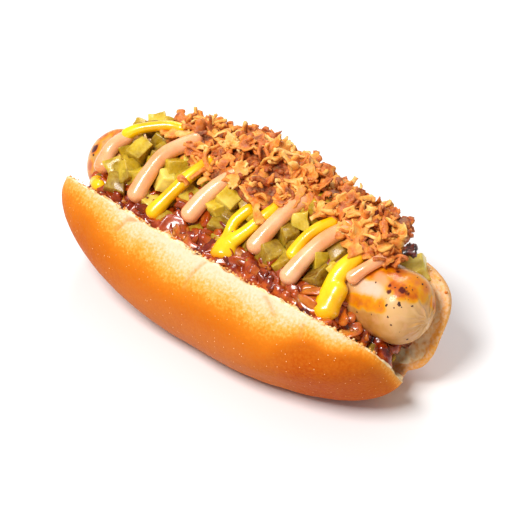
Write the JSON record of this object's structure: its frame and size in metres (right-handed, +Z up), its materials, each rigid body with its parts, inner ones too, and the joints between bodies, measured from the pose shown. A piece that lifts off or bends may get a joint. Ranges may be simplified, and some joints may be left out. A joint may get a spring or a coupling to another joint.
{
  "type": "hot dog",
  "caption": "Grilled sausage in a side-split brioche bun with onion relish, diced pickles, mustard and pink sauce strokes and a heap of crispy fried onions.",
  "frame": {"origin": "on the surface it lies on, under the middle of its outline", "axes": "+X along the bun towards the bare end of the sausage, +Y across towards the thin half of the bun, +Z up"},
  "size_m": [0.1679, 0.0802, 0.0684],
  "materials": {
    "bun_crust": "golden brown egg-washed crust fading to a pale cream band at the rim, satin",
    "sausage_skin": "pale grilled skin with orange and dark brown grill patches, glossy",
    "onion_relish": "caramelised onions in a dark red-brown glaze, wet and glossy",
    "pickle": "yellow-green diced pickled cucumber, wet",
    "mustard": "vivid yellow mustard, glossy",
    "pink_sauce": "peach-pink creamy sauce, glossy",
    "fried_onion": "golden to red-brown crisp fried onion, matte with an oily sheen"
  },
  "bodies": {
    "root": {"bun": "bun_crust", "sausage": "sausage_skin", "onion_relish": "onion_relish", "pickle_dice": "pickle", "pickle_die_end": "pickle", "mustard_1": "mustard", "mustard_2": "mustard", "mustard_3": "mustard", "mustard_4": "mustard", "mustard_5": "mustard", "mustard_6": "mustard", "pink_sauce_1": "pink_sauce", "pink_sauce_2": "pink_sauce", "pink_sauce_3": "pink_sauce", "pink_sauce_4": "pink_sauce", "pink_sauce_5": "pink_sauce", "pink_sauce_6": "pink_sauce", "fried_onions": "fried_onion"}
  },
  "joints": []
}
